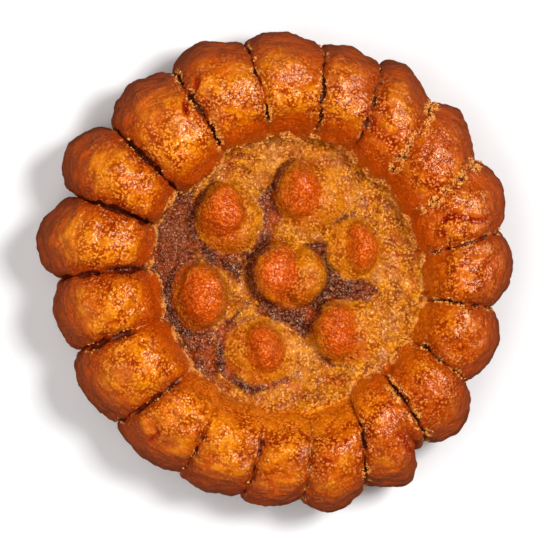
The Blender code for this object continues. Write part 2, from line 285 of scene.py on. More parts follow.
def column_at(index, share):
    """What the skin follows at a share of one petal's width."""
    before, petal = PETALS[index - 1], PETALS[index]
    after = PETALS[(index + 1) % len(PETALS)]
    turn = 360.0 if index == len(PETALS) - 1 else 0.0
    full = bulge(2 * share - 1, ACROSS_POWER)

    def between(start, end):
        return start + (end - start) * share

    notch = between(petal.notch, after.notch)
    corner = between(
        (before.foot + petal.foot) / 2 + FOOT_CORNER * petal.valley,
        (petal.foot + after.foot) / 2 + FOOT_CORNER * after.valley,
    )
    seam_crest = between(
        (before.crest + petal.crest) / 2 - petal.valley,
        (petal.crest + after.crest) / 2 - after.valley,
    )
    nearest = petal if share < 0.5 else after
    return Column(
        rim=between(petal.rim, after.rim + turn),
        inner=between(petal.inner, after.inner + turn),
        widest=notch + (petal.tip - notch) * reach_at(share, petal.lean),
        foot=corner + (petal.foot - corner) * full,
        crest=seam_crest + (petal.crest - seam_crest) * full,
        notch=notch,
        slope=between((before.slope + petal.slope) / 2, (petal.slope + after.slope) / 2),
        from_seam=min(share, 1 - share) * (after.rim + turn - petal.rim),
        open=nearest.open,
        crumbs=nearest.crumbs,
        run=nearest.run,
        place=index + share,
    )


def all_columns():
    """The radial lines of the mesh, rather closer together beside the seams."""
    rows = []
    for index, petal in enumerate(PETALS):
        after = PETALS[(index + 1) % len(PETALS)]
        width = (after.rim - petal.rim) % 360
        times = round(width * COLUMNS_PER_TURN / 360 / COLUMN_MULTIPLE)
        count = COLUMN_MULTIPLE * max(1, times)
        for step in range(count):
            even = step / count
            share = (even + (1 - math.cos(math.pi * even)) / 2) / 2
            rows.append(column_at(index, share))
    return Column(*np.array(rows).T)


COL = all_columns()
CREST_RADIUS = COL.foot + CREST_SHARE * (COL.widest - COL.foot)
EVEN = COL.inner[0] + np.arange(len(COL.inner)) * 360 / len(COL.inner)
WANDER = np.array([
    [noise.turbulence((radius / SEAM_WAVE, 5.1 * number, 0.0), 3, True) - 0.5
     for radius in np.arange(0, 40, WANDER_STEP)]
    for number in range(len(PETALS))
])


def wander_at(radius):
    """How far each column is carried sideways, in millimetres, by the seams on its two sides."""
    first = COL.place.astype(int)
    share = COL.place - first
    second = (first + 1) % len(PETALS)
    step = np.clip(radius / WANDER_STEP, 0, WANDER.shape[1] - 2)
    whole = step.astype(int)
    part = step - whole

    def along(seam):
        return WANDER[seam, whole] * (1 - part) + WANDER[seam, whole + 1] * part

    return SEAM_WANDER * (along(first) * (1 - share) + along(second) * share)


def bearing_at(radius):
    """Each column's bearing in radians: straight from rim to foot, then evening out on the floor."""
    out = np.clip((radius - COL.foot) / (COL.widest - COL.foot), 0, 1)
    inside = np.clip(1 - radius / COL.foot, 0, EVEN_SHARE) / EVEN_SHARE
    line = np.radians(COL.inner + (COL.rim - COL.inner) * out + (EVEN - COL.inner) * inside)
    return line + (1 - inside) * wander_at(radius) / np.maximum(radius, 1)


def floor_height(x, y):
    """The sunken floor with its bosses."""
    rise = math.radians(RISE_BEARING)
    flat = FLOOR_HEIGHT + FLOOR_RISE * (x * math.cos(rise) + y * math.sin(rise))
    reach = np.clip(np.hypot(x, y) / COL.foot.max(), 0, 1)
    height = flat - FLOOR_HOLLOW * (1 - reach**4)
    x, y = warped(x, y)
    for boss in BOSSES:
        skirt_at = (boss.dome_at[0] + SKIRT_SHIFT[0], boss.dome_at[1] + SKIRT_SHIFT[1])
        skirt_half = (boss.dome_half[0] * SKIRT_SPREAD, boss.dome_half[1] * SKIRT_SPREAD)
        skirt = SKIRT_RISE * cap(x, y, skirt_at, skirt_half, SKIRT_POWER)
        dome = np.maximum(cap(x, y, boss.dome_at, boss.dome_half, DOME_POWER), skirt)
        top = flat - FLOOR_HOLLOW + boss.dome_rise * dome
        height = np.where(dome > 0, smooth_max(height, top, BOSS_FILLET), height)
    for boss in BOSSES:
        knob = boss.knob_rise * leaning_cap(x, y, boss.knob_at, boss.knob_half)
        top = flat - FLOOR_HOLLOW + knob
        height = np.where(knob > 0, smooth_max(height, top, KNOB_FILLET), height)
    lobe = LOBE_RISE * cap(x, y, LOBE_AT, LOBE_HALF, KNOB_POWER)
    return np.where(lobe > 0, smooth_max(height, flat - FLOOR_HOLLOW + lobe, KNOB_FILLET), height)


# One row for each vertex: its place, how far it is round the petal's section from the floor (0) by
# the crest (1) and the widest point (2) to the underside (3), how far it is from the nearest seam
# and past the petal's foot, that seam's crack, and how crisp the petal's foot is.
Skin = namedtuple("Skin", "x y z section gap past_foot open crumbs run crisp")
FAR = 9.0  # the gap and the distance from a foot that the middle points are given


def ring_of(radius, bearing, height, section):
    gap = np.radians(COL.from_seam) * radius
    crisp = np.clip((COL.slope - SOFT_SLOPE) / (CRISP_SLOPE - SOFT_SLOPE), 0, 1)
    return Skin(
        radius * np.cos(bearing), radius * np.sin(bearing), height, section,
        gap, radius - COL.foot, COL.open, COL.crumbs, COL.run, crisp,
    )


def top_ring(radius, section):
    """One ring between the middle and the crest: the floor, or the petals' inner faces."""
    bearing = bearing_at(radius)
    offset = (CREST_RADIUS - radius) / (CREST_RADIUS - COL.foot)
    face = HALF_SECTION_HEIGHT + (COL.crest - HALF_SECTION_HEIGHT) * bulge(offset, COL.slope)
    face = np.where(radius < COL.foot, 0, face)
    bottom = floor_height(radius * np.cos(bearing), radius * np.sin(bearing))
    return ring_of(radius, bearing, smooth_max(face, bottom, RING_FILLET), section)


def crest_ring(share):
    """One ring between the crest, at 0, and the widest point, at 1."""
    angle = share * math.pi / 2
    out = math.sin(angle) ** (2 / OUTER_POWER)
    up = max(math.cos(angle), 0) ** (2 / OUTER_POWER)
    radius = CREST_RADIUS + (COL.widest - CREST_RADIUS) * out
    height = HALF_SECTION_HEIGHT + (COL.crest - HALF_SECTION_HEIGHT) * up
    return ring_of(radius, bearing_at(radius), height, np.full_like(radius, 1 + share))


def wall_ring(share):
    """One ring between the widest point, at 0, and the table, at 1."""
    angle = share * math.pi / 2
    base = COL.notch - BASE_INSET + BASE_SCALLOP * (COL.widest - COL.notch)
    out = max(math.cos(angle), 0) ** (2 / LOWER_POWER)
    down = math.sin(angle) ** (2 / LOWER_POWER)
    radius = base + (COL.widest - base) * out
    height = np.full_like(radius, HALF_SECTION_HEIGHT * (1 - down))
    return ring_of(radius, bearing_at(COL.widest), height, np.full_like(radius, 2 + share))


def thinned(ring, step):
    return Skin(*(values[::step] for values in ring))


def shrunk(ring, share):
    """The base ring drawn in towards the middle of the underside."""
    return ring._replace(x=ring.x * share, y=ring.y * share, section=np.full_like(ring.x, 3.0))


def skin_rings():
    """Every ring of the skin, from the middle of the floor over the petals to the underside."""
    rings = []
    mean = COL.foot.mean()
    for number in range(1, FLOOR_RINGS + 1):
        share = number / FLOOR_RINGS
        radius = share * (mean + (COL.foot - mean) * share**2)
        step = 2 ** sum(share <= limit for limit in FLOOR_HALVINGS)
        rings.append(thinned(top_ring(radius, np.zeros_like(radius)), step))
    for number in range(1, FACE_RINGS + 1):
        share = (number / FACE_RINGS) ** FACE_POWER
        radius = COL.foot + (CREST_RADIUS - COL.foot) * share
        rings.append(top_ring(radius, np.full_like(radius, share)))
    rings += [crest_ring(number / CREST_RINGS) for number in range(1, CREST_RINGS + 1)]
    rings += [thinned(wall_ring(number / WALL_RINGS), 2) for number in range(1, WALL_RINGS + 1)]
    base = rings[-1]
    for share in UNDERSIDE_SHARES:
        step = 2 ** sum(share < limit for limit in UNDERSIDE_HALVINGS)
        rings.append(shrunk(thinned(base, step), share))
    return rings


def join_rings(body, inside, outside):
    """Faces between two rings, one of which may have half as many points as the other."""
    count = max(len(inside), len(outside))
    if len(inside) == len(outside):
        for i in range(count):
            j = (i + 1) % count
            body.faces.new((inside[i], outside[i], outside[j], inside[j]))
        return
    few, many = (inside, outside) if len(inside) < len(outside) else (outside, inside)
    for i in range(count // 2):
        j = (i + 1) % (count // 2)
        first, middle, last = many[2 * i], many[2 * i + 1], many[(2 * i + 2) % count]
        for face in ((few[i], first, middle), (few[i], middle, few[j]), (few[j], middle, last)):
            body.faces.new(face if few is inside else tuple(reversed(face)))


def close_disc(body, ring, centre, facing_up):
    """A fan of triangles from a ring to a point in its middle."""
    middle = body.verts.new(centre)
    for i, first in enumerate(ring):
        second = ring[(i + 1) % len(ring)]
        body.faces.new((middle, first, second) if facing_up else (middle, second, first))


def plain_skin():
    """The smooth body as a mesh in millimetres, and the Skin values of its vertices."""
    rings = skin_rings()
    body = bmesh.new()
    joined = [[body.verts.new(point) for point in zip(ring.x, ring.y, ring.z)] for ring in rings]
    for inside, outside in zip(joined, joined[1:]):
        join_rings(body, inside, outside)
    top = floor_height(np.zeros(1), np.zeros(1))[0]
    close_disc(body, joined[0], (0, 0, top), facing_up=True)
    close_disc(body, joined[-1], (0, 0, 0), facing_up=False)
    mesh = bpy.data.meshes.new("dough")
    body.to_mesh(mesh)
    body.free()
    middles = Skin([0, 0], [0, 0], [top, 0], [0, 3], [FAR, FAR], [-FAR, FAR], *[[0, 0]] * 4)
    skin = Skin(*(np.concatenate(parts) for parts in zip(*rings, middles)))
    return mesh, skin


# ---------------------------------------------------------------- masks and relief


def boss_masks(x, y):
    """Masks of the bosses: dome, knob, the domes' darker red lower left sides, partly browning and
    partly painted shade, and the painted shade in the dips round the domes and between them.
    """
    x, y = warped(x, y)
    dome, knob, lee, moat_shade = (np.zeros_like(x) for _ in range(4))
    nearness = []
    side = math.radians(LEE_BEARING)
    for boss in BOSSES:
        dome = np.maximum(dome, cap(x, y, boss.dome_at, boss.dome_half, DOME_MASK_POWER))
        knob = np.maximum(knob, cap(
            x - MASK_SHIFT[0], y - MASK_SHIFT[1], boss.knob_at, boss.knob_half, KNOB_MASK_POWER,
        ))
        across = (x - boss.dome_at[0]) / boss.dome_half[0]
        up = (y - boss.dome_at[1]) / boss.dome_half[1]
        offset = np.hypot(across, up)
        facing = across * math.cos(side) + up * math.sin(side)
        # Darker red on the side away from the key light: partly browning, partly painted shade
        browned = boss.browned * smooth_step(facing, -0.6, 0.2)
        lee = np.maximum(lee, browned * (1 - smooth_step(offset, 0.9, 1.15)))
        # The dip's painted shade is strongest on the side away from the key light
        turned = 0.5 + 0.5 * facing / np.maximum(offset, 0.01)
        moat_shade = np.maximum(moat_shade, hump(offset, MOAT_AT, MOAT_WIDTH) * (0.15 + 0.85 * turned))
        away = np.clip(offset - 1, 0, None) * sum(boss.dome_half) / 2
        nearness.append(hump(away, 0, NEAR_WIDTH))
    # Painted shade on the floor where two domes are near each other
    between = sum(nearness) - np.max(nearness, axis=0)
    return dome, knob, lee, np.maximum(moat_shade, smooth_step(between, 0.3, 1.0))


def fold_mask(skin):
    """1 on the line of each fold across a petal, fading to its sides and its ends."""
    total = np.zeros_like(skin.x)
    for fold in FOLDS:
        ends = []
        for bearing, radius in (fold.start, fold.end):
            angle = math.radians(bearing)
            ends.append(np.array([radius * math.cos(angle), radius * math.sin(angle)]))
        along = ends[1] - ends[0]
        length = np.hypot(*along)
        offset_x, offset_y = skin.x - ends[0][0], skin.y - ends[0][1]
        part = (offset_x * along[0] + offset_y * along[1]) / length**2
        aside = (offset_x * along[1] - offset_y * along[0]) / length
        aside = aside + FOLD_BEND * np.sin(part * FOLD_BENDS)
        inside = smooth_step(part, -0.05, 0.2) * (1 - smooth_step(part, 0.8, 1.05))
        total = np.maximum(total, fold.depth * hump(aside, 0, FOLD_WIDTH) * inside)
    return total


# Where the floor is darker, or lighter if the amount is below zero, than its other dips
Pool = namedtuple("Pool", "x y half_x half_y amount")
POOLS = (
    Pool(9.6, -2.7, 3.4, 1.6, 0.9),
    Pool(0.2, -5.1, 3.2, 1.3, 0.7),
    Pool(2.9, 5.0, 4.8, 2.2, -0.9),
    Pool(4.4, -9.4, 2.3, 2.3, -0.6),
)


def sunk_mask(skin, points, dome, moat_shade):
    """1 on the dark dough between the bosses and on the floor's left: dough darkened by syrup, with
    painted shade in the dips round and between the bosses.
    """
    left = math.radians(DARK_BEARING)
    wander = DARK_WANDER * noise_at(points, DARK_WANDER_SIZE, 12)
    reach = skin.x * math.cos(left) + skin.y * math.sin(left) + wander
    sunk = smooth_step(reach, DARK_FROM, DARK_TO)
    # The painted shade round and between the domes joins the dark floor
    sunk = np.maximum(sunk, moat_shade * (1 - 0.5 * smooth_step(skin.x, 3, 9)))
    for pool in POOLS:
        spread = np.hypot((skin.x - pool.x) / pool.half_x, (skin.y - pool.y) / pool.half_y)
        sunk = np.clip(sunk + pool.amount * (1 - smooth_step(spread, 0.4, 1.2)), 0, 1)
    return sunk * (1 - smooth_step(dome, 0.35, 0.75))


def crack_masks(skin, points, on_ring, on_top):
    """Masks along the seams and round the floor: crack, crumb, the floor's lip, and the seam, where
    shade is painted.
    """
    radius = np.hypot(skin.x, skin.y)
    broad, fine = noise_at(points, BROAD_SIZE, 2), noise_at(points, FINE_SIZE, 3)
    reach = smooth_step(radius, skin.run - CRACK_FADE_IN, skin.run + CRACK_FADE_OUT) * on_ring
    wide = CRACK_WIDTH * (0.3 + skin.open) * np.clip(1 + 1.5 * broad + 0.9 * fine, 0.1, 2.6)
    present = smooth_step(broad + 0.8 * skin.open, 0.0, 0.4)
    crack = hump(skin.gap, 0, wide) * reach * on_top * present * (0.4 + 0.6 * skin.open)
    band = hump(skin.gap, 0, BAND_WIDTH + BAND_SPREAD * skin.crumbs) * (0.3 + 0.7 * skin.crumbs)
    band = band * reach * np.clip(0.6 + 2.6 * broad, 0, 1.3)
    lip = hump(skin.past_foot, LIP_AT, LIP_WIDTH) * skin.crisp * np.clip(0.5 + 2.4 * broad, 0, 1.15)
    pit = smooth_step(-fine, 0.2, 0.4) * smooth_step(band, 0.35, 0.8)
    return {
        # crack: the cracks and the holes in their lips, where shade is painted
        "crack": np.clip(np.maximum(crack, 0.8 * pit), 0, 1),
        "crumb": np.clip(np.maximum(band, lip), 0, 1) * on_top,
        "edge": lip * on_top,
        # seam: painted shade along the valleys between the petals
        "seam": hump(skin.gap, 0, SEAM_SHADE_WIDTH) * reach * on_top * (1 - 0.8 * skin.crumbs),
    }


def masks_of(skin, points, normals):
    """Where each kind of crust is, from 0 to 1 at every vertex, and how the skin runs there."""
    on_ring = smooth_step(skin.past_foot, -0.1, 0.5)
    on_top = 1 - smooth_step(skin.section, 1.75, 2.3)
    on_floor = 1 - on_ring
    masks = crack_masks(skin, points, on_ring, on_top)
    dome, knob, lee, moat_shade = boss_masks(skin.x, skin.y)
    sunk = sunk_mask(skin, points, dome, moat_shade) * on_floor
    wall = smooth_step(skin.section, 0.95, 1.7)
    inner = 1 - smooth_step(skin.past_foot, INNER_FROM, INNER_TO)
    inner = inner * on_ring * (0.25 + 0.75 * skin.crisp)
    soft = (1 - smooth_step(skin.past_foot, SOFT_FROM, SOFT_TO)) * on_ring * (1 - skin.crisp)
    # How much of the pebbled grain shows: in the relief, as painted shade in its hollows and as pale
    # ridges
    ring_grain_share = on_ring * (1 - 0.85 * wall) * (1 - 0.7 * inner)
    floor_grain_share = on_floor * (0.85 + 0.15 * knob - 0.8 * sunk)
    dry_floor = on_floor * (1 - knob) * (1 - sunk) * 0.3
    radius = np.maximum(np.hypot(skin.x, skin.y), 1)
    masks.update({
        "ring": on_ring,
        # up: gold is painted as light on tops that face up, and deep orange as shade on slopes
        "up": smooth_step(normals[:, 2], 0.5, 0.97),
        "wall": wall,
        "grain_share": ring_grain_share + floor_grain_share,
        "dry": np.maximum(np.maximum(wall, masks["crumb"]), dry_floor),
        "browned": smooth_step(skin.x, BROWN_FROM, BROWN_TO) * on_ring,
        "inner": inner,
        "soft": soft,
        "fold": fold_mask(skin) * on_top,
        "dome": dome * on_floor,
        "knob": knob * on_floor,
        # lee: the domes' darker red side away from the key light, partly browning and partly painted
        # shade
        "lee": lee * on_floor,
        "sunk": sunk,
        # the painted shade in the dips round the domes and between them
        "moat_shade": moat_shade * sunk,
        "turn_x": skin.x / radius,
        "turn_y": skin.y / radius,
        "section": skin.section,
    })
    return masks


def relief_of(skin, points, masks):
    """How far each vertex of the skin stands out along its normal."""
    on_top = 1 - smooth_step(skin.section, 2.6, 3.0)
    on_ring = masks["ring"]
    away = smooth_step(skin.gap, 0.0, 1.2)
    lumps = LUMP_HEIGHT * noise_at(points, LUMP_SIZE, 6) * (0.3 + 0.7 * on_ring * away)
    ripples = RIPPLE_HEIGHT * noise_at(points, RIPPLE_SIZE, 7)
    blisters = BLISTER_HEIGHT * (blisters_at(points, BLISTER_SIZE, 8) - 0.5)
    flakes = FLAKE_HEIGHT * noise_at(points, FLAKE_SIZE, 9) * masks["crumb"]
    squeezed = points * np.array([0.6, 0.6, 2.4])
    wrinkles = WRINKLE_HEIGHT * noise_at(squeezed, WRINKLE_SIZE, 11) * masks["wall"]
    lip = FOOT_LIP * masks["edge"]
    crack = -CRACK_DEPTH * masks["crack"] - masks["fold"]
    return (lumps + ripples + blisters + flakes + wrinkles + lip + crack) * on_top


def set_masks(mesh, masks):
    for name, values in masks.items():
        layer = mesh.attributes.new(name, "FLOAT", "POINT")
        layer.data.foreach_set("value", np.asarray(values, np.float32))


def dough_piece():
    """The dough's skin in its place, and the arrays that the crumbs are set by."""
    mesh, skin = plain_skin()
    points = np.stack([skin.x, skin.y, skin.z], axis=1)
    normals = np.zeros(len(points) * 3, np.float32)
    mesh.vertex_normals.foreach_get("vector", normals)
    normals = normals.reshape(-1, 3).astype(float)
    masks = masks_of(skin, points, normals)
    relief = relief_of(skin, points, masks)
    masks["relief"] = np.clip(0.5 + relief / RELIEF_SPAN, 0, 1)
    moved = points + normals * relief[:, None]
    under = smooth_step(skin.section, 2.7, 3.0)
    dimples = UNDERSIDE_RELIEF * np.clip(noise_at(points, UNDERSIDE_SIZE, 10) + 0.15, 0, 1)
    moved[:, 2] = np.maximum(moved[:, 2], 0) + under * dimples
    low, high = np.array(cad_low) / MM, np.array(cad_high) / MM
    middle = (moved[:, :2].min(axis=0) + moved[:, :2].max(axis=0)) / 2
    moved[:, :2] += (low[:2] + high[:2]) / 2 - middle
    moved[:, 2] += low[2]
    set_masks(mesh, masks)
    mesh.vertices.foreach_set("co", (moved * MM).astype(np.float32).ravel())
    mesh.shade_smooth()
    mesh.update()
    piece = bpy.data.objects.new("dough", mesh)
    bpy.context.scene.collection.objects.link(piece)
    return piece, moved, normals, masks


# ---------------------------------------------------------------- crumbs along the cracks

CRUMBS = 4200
CRUMB_SEED = 11
CRUMB_RADIUS = (0.04, 0.13)
CRUMB_STRETCH = (0.4, 1.9)  # a grain's half lengths, as shares of its radius
CRUMB_ROUGHNESS = 0.35  # how far a grain's corners are pushed about, as a share of its radius
CRUMB_LIFT = 0.3  # how far its middle stands above the crust, likewise
CRUMB_GATHERING = 3  # the greater, the more they gather where the crumb mask is full


def round_grain():
    """The corners and faces of one small ball."""
    ball = bmesh.new()
    bmesh.ops.create_icosphere(ball, subdivisions=1, radius=1.0)
    corners = np.array([vert.co[:] for vert in ball.verts])
    faces = np.array([[vert.index for vert in face.verts] for face in ball.faces])
    ball.free()
    return corners, faces


def crumb_piece(points, normals, weights):
    """Loose-looking grains of crust that stand on the lips of the cracks, as one mesh."""
    rng = np.random.default_rng(CRUMB_SEED)
    corners, faces = round_grain()
    chosen = rng.choice(len(points), CRUMBS, p=weights / weights.sum())
    radius = rng.uniform(*CRUMB_RADIUS, (CRUMBS, 1, 1))
    turns = np.linalg.qr(rng.normal(size=(CRUMBS, 3, 3)))[0]
    turns *= np.sign(np.linalg.det(turns))[:, None, None]
    grains = corners * rng.uniform(*CRUMB_STRETCH, (CRUMBS, 1, 3))
    grains = grains + rng.uniform(-CRUMB_ROUGHNESS, CRUMB_ROUGHNESS, (CRUMBS, len(corners), 3))
    grains = radius * np.einsum("nij,nkj->nki", turns, grains)
    grains += points[chosen, None] + CRUMB_LIFT * radius * normals[chosen, None]
    first = np.arange(CRUMBS)[:, None, None] * len(corners)
    mesh = bpy.data.meshes.new("crumbs")
    mesh.from_pydata((grains * MM).reshape(-1, 3), [], (faces + first).reshape(-1, 3))
    piece = bpy.data.objects.new("crumbs", mesh)
    bpy.context.scene.collection.objects.link(piece)
    return piece


# ---------------------------------------------------------------- materials


class Nodes:
    """Short ways to add the nodes of one material. One of these is called n below."""

    def __init__(self, name):
        self.material = bpy.data.materials.new(name)
        self.material.use_nodes = True
        self.tree = self.material.node_tree
        self.shader = self.tree.nodes["Principled BSDF"]
        self.place = self.tree.nodes.new("ShaderNodeTexCoord").outputs["Object"]

    def add(self, kind, inputs=None, **settings):
        made = self.tree.nodes.new("ShaderNode" + kind)
        for name, value in settings.items():
            setattr(made, name, value)
        for name, value in (inputs or {}).items():
            self.give(made.inputs[name], value)
        return made

    def give(self, socket, value):
        """Links or sets one input."""
        if isinstance(value, bpy.types.NodeSocket):
            self.tree.links.new(value, socket)
        else:
            socket.default_value = value

    def mask(self, name):
        return self.add("Attribute", attribute_name=name).outputs["Fac"]

    def frayed(self, name, ragged, fray, low, high, to_high=1.0):
        """A mask whose edge is frayed by this much of a noise, from 0 to to_high."""
        value = self.plus(self.mask(name), self.times(ragged, fray))
        return self.ramp(value, low, high, 0.0, to_high)

    def noise(self, size_mm, detail=3.0, roughness=0.55):
        """Noise from 0 to 1, with features of this size."""
        inputs = {
            "Vector": self.place, "Scale": 1 / (size_mm * MM), "Detail": detail,
            "Roughness": roughness,
        }
        return self.add("TexNoise", inputs).outputs["Fac"]

    def pebbles(self, size_mm, warp_mm):
        """Rounded grains of this size, 1 on each grain's top and 0 in the creases between them."""
        inputs = {"Vector": self.place, "Scale": 0.7 / (size_mm * MM), "Detail": 1.0}
        warp = self.add("TexNoise", inputs).outputs["Color"]
        warp = self.add("VectorMath", {0: warp, 1: (0.5, 0.5, 0.5)}, operation="SUBTRACT").outputs[0]
        inputs = {0: warp, 1: (2 * warp_mm * MM,) * 3, 2: self.place}
        vector = self.add("VectorMath", inputs, operation="MULTIPLY_ADD").outputs[0]
        inputs = {"Vector": vector, "Scale": 1 / (size_mm * MM), "Smoothness": 0.3}
        away = self.add("TexVoronoi", inputs, feature="SMOOTH_F1").outputs["Distance"]
        return self.ramp(away, 0.05, 0.75, 1.0, 0.0)

    def threads(self, size_mm, width):
        """Thin wandering lines, 1 on each line, where a noise of this size crosses its middle."""
        away = self.math("ABSOLUTE", self.math("SUBTRACT", self.noise(size_mm, 2.0), 0.5))
        return self.ramp(away, 0.0, width, 1.0, 0.0)

    def ramp(self, value, low, high, to_low=0.0, to_high=1.0):
        """to_low where the value is low or less, to_high where it is high or more."""
        inputs = {
            "Value": value, "From Min": low, "From Max": high, "To Min": to_low, "To Max": to_high,
        }
        return self.add("MapRange", inputs, interpolation_type="SMOOTHSTEP").outputs["Result"]

    def math(self, operation, first, second=0.0):
        made = self.add("Math", operation=operation)
        self.give(made.inputs[0], first)
        self.give(made.inputs[1], second)
        return made.outputs[0]

    def times(self, first, second):
        return self.math("MULTIPLY", first, second)

    def plus(self, first, second):
        return self.math("ADD", first, second)

    def most(self, first, second):
        return self.math("MAXIMUM", first, second)

    def mix(self, share, first, second, blend="MIX"):
        """The second colour over the first, by this share."""
        made = self.add("Mix", data_type="RGBA", blend_type=blend, clamp_factor=True)
        self.give(made.inputs[0], share)
        self.give(made.inputs[6], first)
        self.give(made.inputs[7], second)
        return made.outputs[2]

    def bump(self, height, distance_mm, strength=1.0):
        inputs = {"Height": height, "Distance": distance_mm * MM, "Strength": strength}
        return self.add("Bump", inputs).outputs["Normal"]

    def finish(self, **inputs):
        """Sets the shader's inputs, with _ in their names for each space."""
        for name, value in inputs.items():
            self.give(self.shader.inputs[name.replace("_", " ")], value)
        return self.material


def colour(red, green, blue):
    """A colour given as it looks on a screen, from 0 to 255, as the shader's linear one."""
    def linear(value):
        value /= 255
        return value / 12.92 if value <= 0.04045 else ((value + 0.055) / 1.055) ** 2.4
    return (linear(red), linear(green), linear(blue), 1.0)


GOLD = colour(234, 134, 8)
ORANGE = colour(212, 91, 0)
DEEP_ORANGE = colour(184, 68, 0)
BROWN = colour(164, 66, 8)
WALL_BROWN = colour(144, 60, 22)
RIM_DARK = colour(130, 56, 24)
# A pink sheen of the syrup, painted on the petals in patches
PINK_SHEEN = colour(176, 74, 34)
# Painted shade along the seams
SEAM_SHADE_BROWN = colour(146, 48, 6)
# Painted shade in the folds
FOLD_SHADE = colour(150, 30, 2)
FLOOR_TAN = colour(176, 94, 8)
FLOOR_GOLD = colour(228, 146, 4)
FLOOR_VEIL = colour(190, 126, 60)
# Syrup-dark dough, also painted as shade between the bosses
FLOOR_DARK = colour(92, 18, 6)
# Painted shadow in the dips round the domes
MOAT_SHADOW = colour(48, 6, 4)
# A sheen of the syrup, painted as a pale net on the dark floor
DARK_FLOOR_SHEEN = colour(196, 116, 80)
DOME_GOLD = colour(218, 132, 8)
# Partly browning, partly painted shade on the domes' sides away from the key light
DOME_BROWNED_AND_SHADED = colour(190, 80, 2)
KNOB_RED = colour(226, 92, 8)
PALE = colour(246, 170, 84)
# Painted shade in the hollows between the grains and in the creases
RECESS_SHADE = colour(172, 106, 40)
# Painted shade in the cracks
CRACK_SHADE = colour(90, 20, 6)

# Sizes of the crust's textures
BROAD_PATCHES, CLOUDS, GRAIN_PATCHES, SHEEN_PATCHES = 4.4, 1.6, 1.7, 3.1
GRAIN_SIZE, GRAIN_WARP, SPECK_SIZE = 0.36, 0.24, 0.3
CRINKLE_SIZE, CRINKLE_WIDTH, CRINKLE_PATCHES = 1.0, 0.06, 1.3
CREASE_SIZE, CREASE_WIDTH = 0.45, 0.09
RAGGED_SIZE, SWELL_SIZE = 0.9, 1.1
FLOW_LENGTH, FLOW_WIDTH = 2.6, 0.42  # the fine lines that run round the outer rim
RIM_RADIUS, SECTION_LENGTH = 29.0, 7.5
BUMP_DEPTH = 0.2


def flow_lines(n):
    """Noise drawn out round the rim, from 0 to 1."""
    around = RIM_RADIUS / FLOW_LENGTH
    inputs = {
        "X": n.times(n.mask("turn_x"), around),
        "Y": n.times(n.mask("turn_y"), around),
        "Z": n.times(n.mask("section"), SECTION_LENGTH / FLOW_WIDTH),
    }
    vector = n.add("CombineXYZ", inputs).outputs["Vector"]
    inputs = {"Vector": vector, "Scale": 1.0, "Detail": 2.0, "Roughness": 0.5, "Distortion": 0.4}
    return n.add("TexNoise", inputs).outputs["Fac"]


# The textures that the dough's colour, gloss and relief share. broad, cloud and mixed are soft
# patches, crinkle and creases are thin lines, grain and marks are the small pebbled relief, lines
# run round the outer wall, and ragged frays the masks' edges. One of these is called p below.
Pattern = namedtuple("Pattern", "broad cloud mixed crinkle creases grain marks lines ragged")


def dough_pattern(n):
    broad, cloud = n.noise(BROAD_PATCHES, 2.0), n.noise(CLOUDS, 3.0, 0.55)
    crinkled = n.ramp(n.noise(CRINKLE_PATCHES, 2.0), 0.4, 0.6, 0.05, 1.0)
    creased = n.ramp(broad, 0.35, 0.6, 1.0, 0.4)
    pebbles, specks = n.pebbles(GRAIN_SIZE, GRAIN_WARP), n.noise(SPECK_SIZE, 2.5, 0.6)
    grain = n.plus(n.times(pebbles, 0.5), n.times(specks, 0.5))
    return Pattern(
        broad=broad,
        cloud=cloud,
        mixed=n.plus(n.times(broad, 0.5), n.times(cloud, 0.5)),
        crinkle=n.times(n.threads(CRINKLE_SIZE, CRINKLE_WIDTH), crinkled),
        creases=n.times(n.threads(CREASE_SIZE, CREASE_WIDTH), creased),
        grain=grain,
        marks=n.ramp(grain, 0.2, 0.75),
        lines=flow_lines(n),
        ragged=n.math("SUBTRACT", n.noise(RAGGED_SIZE, 4.0, 0.65), 0.5),
    )


def petal_colour(n, p):
    """Golden where a petal faces up and deep orange where it slopes away, which is painted light and
    shade, with a painted pink sheen in patches; browner to the right, and brown on the outer wall.
    """
    browned, up = n.mask("browned"), n.mask("up")
    golden = n.plus(n.ramp(p.mixed, 0.4, 0.6, -0.4, 0.7), n.ramp(browned, 0.0, 0.7, 0.75, 0.1))
    # Gold on the up-facing tops: painted light, over the crust's own patchy gold
    shade = n.mix(n.times(golden, up), ORANGE, GOLD)
    shade = n.mix(n.times(browned, n.ramp(p.cloud, 0.35, 0.65, 0.75, 0.15)), shade, BROWN)
    # Pink patches: a painted sheen
    shade = n.mix(n.ramp(n.noise(SHEEN_PATCHES, 2.0), 0.54, 0.68, 0.0, 0.5), shade, PINK_SHEEN)
    # Deep orange where the skin turns away from up: painted shade
    shade = n.mix(n.ramp(up, 0.1, 0.9, 0.9, 0.0), shade, DEEP_ORANGE)
    shade = n.mix(n.times(n.mask("inner"), 0.4), shade, DEEP_ORANGE)
    shade = n.mix(n.times(n.mask("soft"), n.ramp(p.mixed, 0.35, 0.6, 0.55, 1.0)), shade, GOLD)
    walled = n.times(n.mask("wall"), n.ramp(p.lines, 0.4, 0.62, 1.0, 0.3))
    shade = n.mix(walled, shade, WALL_BROWN)
    rim = n.times(n.mask("ring"), n.ramp(n.mask("section"), 1.3, 1.9, 0.0, 0.7))
    return n.mix(rim, shade, RIM_DARK)


